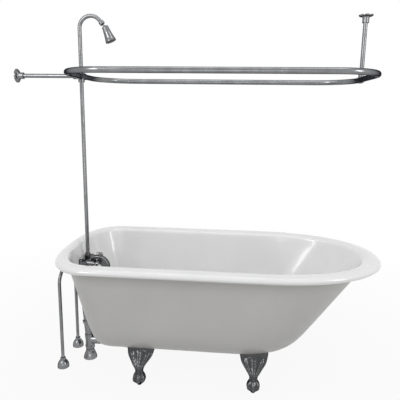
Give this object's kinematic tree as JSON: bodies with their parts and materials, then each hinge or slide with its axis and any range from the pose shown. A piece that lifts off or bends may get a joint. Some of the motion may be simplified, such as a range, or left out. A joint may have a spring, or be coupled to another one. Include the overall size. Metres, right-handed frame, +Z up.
{
  "type": "cast iron bathtub",
  "caption": "Roll-top bathtub on ball-and-claw feet with end-wall tap, leaning waste and overflow, floor supplies, riser with tilting shower head and a hung curtain ring.",
  "frame": {"origin": "on the floor, on the centre line of the waste outlet below the drain end", "axes": "+X from the drain end to the round end, +Y to the far side, +Z up"},
  "size_m": [1.745, 0.7632, 1.735],
  "materials": {
    "enamel": "enamelled",
    "foot_metal": "chromed",
    "chrome": "polished",
    "steel": "plain",
    "brass": "machined",
    "rubber": "moulded",
    "index": "polished",
    "spray": "moulded"
  },
  "bodies": {
    "bath": {"tub_shell": "enamel", "foot_drain_near": "foot_metal", "foot_drain_far": "foot_metal", "foot_round_near": "foot_metal", "foot_round_far": "foot_metal", "foot_bolts": "steel", "foot_washers": "steel", "waste_strainer": "chrome", "waste_gasket": "rubber", "drain_shoe": "chrome", "waste_tee": "chrome", "shoe_slip_nut": "chrome", "tail_slip_nut": "chrome", "tailpiece": "chrome", "drain_floor_bell": "chrome", "overflow_lower_tube": "chrome", "overflow_upper_tube": "chrome", "overflow_slip_nut": "chrome", "overflow_elbow": "chrome", "overflow_gasket": "rubber", "overflow_plate": "chrome", "overflow_screws": "chrome", "tap_body": "chrome", "shank_wedges": "rubber", "shank_locknuts": "brass", "supply_nuts": "chrome", "hot_bonnet": "chrome", "cold_bonnet": "chrome", "spout": "chrome", "diverter_gland": "chrome", "riser_nut": "chrome", "riser": "chrome", "head_ball": "chrome", "ring_hub": "chrome", "hub_screws": "steel", "ring_near": "chrome", "ring_far": "chrome", "ring_spigot": "brass", "wall_flange": "chrome", "wall_stay": "chrome", "ceiling_eye": "chrome", "ceiling_stay": "chrome", "ceiling_flange": "chrome", "hot_supply": "chrome", "cold_supply": "chrome", "supply_bells": "chrome"},
    "hot_valve": {"hot_stem": "brass", "hot_handle": "chrome", "hot_cap": "index"},
    "cold_valve": {"cold_stem": "brass", "cold_handle": "chrome", "cold_cap": "index"},
    "diverter": {"diverter_handle": "chrome"},
    "head_cup": {"head_seal": "rubber"},
    "head": {"head_collar": "chrome", "head_body": "chrome", "spray_plate": "spray"},
    "stopper": {"waste_stopper": "chrome"}
  },
  "joints": [
    {"name": "hot_turn", "type": "hinge", "parent": "bath", "child": "hot_valve", "pos_m": [0.0056, -0.04285, 0.54], "axis": [1, 0, 0], "range_deg": [0, 90]},
    {"name": "cold_turn", "type": "hinge", "parent": "bath", "child": "cold_valve", "pos_m": [0.0056, 0.04285, 0.54], "axis": [1, 0, 0], "range_deg": [-90, 0]},
    {"name": "diverter_turn", "type": "hinge", "parent": "bath", "child": "diverter", "pos_m": [0.0676, 0, 0.54], "axis": [0, 0, 1], "range_deg": [0, 90]},
    {"name": "head_tilt", "type": "hinge", "parent": "bath", "child": "head_cup", "pos_m": [0.12668, 0, 1.66707], "axis": [0, 1, 0], "range_deg": [-38, 4]},
    {"name": "head_spin", "type": "hinge", "parent": "head_cup", "child": "head", "pos_m": [0.12668, 0, 1.66707], "axis": [0.3907, 0, -0.9205], "continuous": true},
    {"name": "stopper_lift", "type": "slide", "parent": "bath", "child": "stopper", "axis": [0, 0, 1], "range_m": [0, 0.014]}
  ]
}
